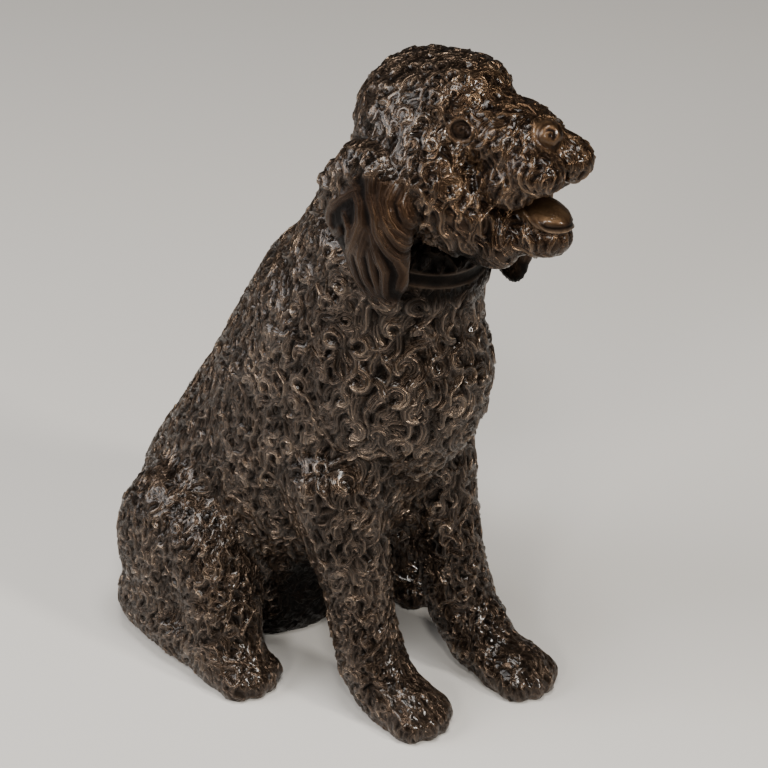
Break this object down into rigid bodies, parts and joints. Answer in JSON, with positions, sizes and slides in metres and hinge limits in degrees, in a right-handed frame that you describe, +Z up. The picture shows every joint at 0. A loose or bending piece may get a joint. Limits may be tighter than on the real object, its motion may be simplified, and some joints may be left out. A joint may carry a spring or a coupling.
{
  "type": "bronze dog statue",
  "caption": "Sitting curly-coated dog with hanging ears and an open mouth, cast in dark patinated bronze, for floor or garden display.",
  "frame": {"origin": "middle of the box round the statue, at its base, where it stands on the ground", "axes": "+Z up, -Y the way the dog faces, +X its left side"},
  "size_m": [0.2746, 0.4606, 0.5942],
  "materials": {
    "bronze": "dark brown patinated bronze, waxed to a low gloss"
  },
  "bodies": {
    "root": {"dog_casting": "bronze"}
  },
  "joints": []
}
